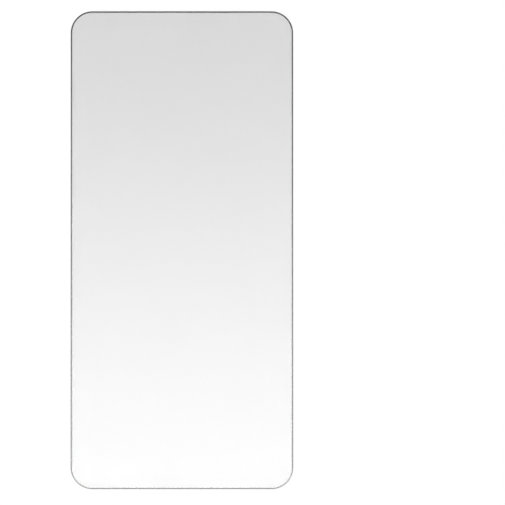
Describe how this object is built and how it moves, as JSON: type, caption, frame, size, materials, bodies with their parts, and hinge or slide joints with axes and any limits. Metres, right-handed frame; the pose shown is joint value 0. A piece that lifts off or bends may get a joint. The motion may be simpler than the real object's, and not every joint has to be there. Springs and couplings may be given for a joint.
{
  "type": "phone screen protector",
  "caption": "Flat clear tempered glass sheet with rounded corners and a curved front edge, bonded over a phone's display to guard it from scratches and knocks.",
  "frame": {"origin": "middle of the back face, the face that bonds to the display", "axes": "+X across the width, +Y along the length, +Z out of the touch face"},
  "size_m": [0.0738, 0.1588, 0.0003],
  "materials": {
    "clear_glass": "clear polished glass, ground and polished edge"
  },
  "bodies": {
    "root": {"glass_sheet": "clear_glass"}
  },
  "joints": []
}
